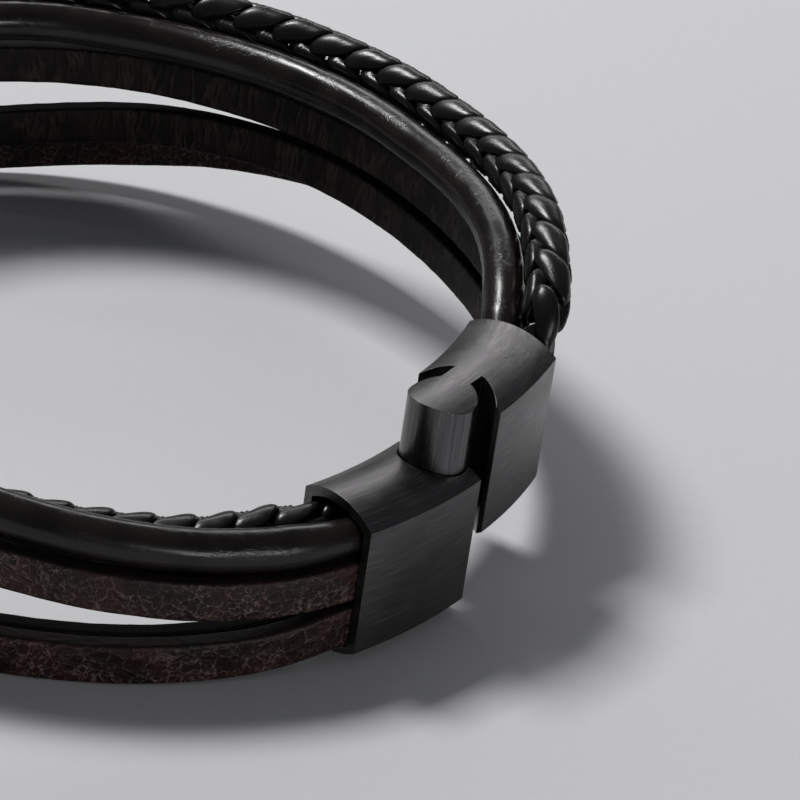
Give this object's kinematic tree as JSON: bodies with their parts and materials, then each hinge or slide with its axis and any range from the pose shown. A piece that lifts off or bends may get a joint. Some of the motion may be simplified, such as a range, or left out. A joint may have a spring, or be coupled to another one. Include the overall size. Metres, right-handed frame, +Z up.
{
  "type": "leather bracelet",
  "caption": "Oval bracelet of flat layered leather straps, a round cord and a braided cord, held in curved steel end caps that slide together on a knob and socket.",
  "frame": {"origin": "middle of the bracelet's outline seen from above, at the height that it rests on", "axes": "+Z up through the wrist opening, -Y from the middle of the loop to the parting of the clasp, +X towards the knob cap's side"},
  "size_m": [0.0763, 0.0764, 0.0216],
  "materials": {
    "clasp_steel": "black plated steel, brushed along the faces and finer on the domed tops",
    "strap_leather": "dark red-brown, finely creased, half gloss",
    "strap_lining": "dark brown, matt, wrinkled",
    "cord_leather": "nearly black, smooth, half gloss",
    "braid_leather": "black, smooth, half gloss"
  },
  "bodies": {
    "root": {"socket_cap": "clasp_steel", "knob_cap": "clasp_steel", "lower_strap_outer": "strap_leather", "lower_strap_inner": "strap_lining", "upper_strap_outer": "strap_leather", "upper_strap_inner": "strap_lining", "round_cord": "cord_leather", "braid_strand_a": "braid_leather", "braid_strand_b": "braid_leather", "braid_strand_c": "braid_leather", "braid_strand_d": "braid_leather"}
  },
  "joints": []
}
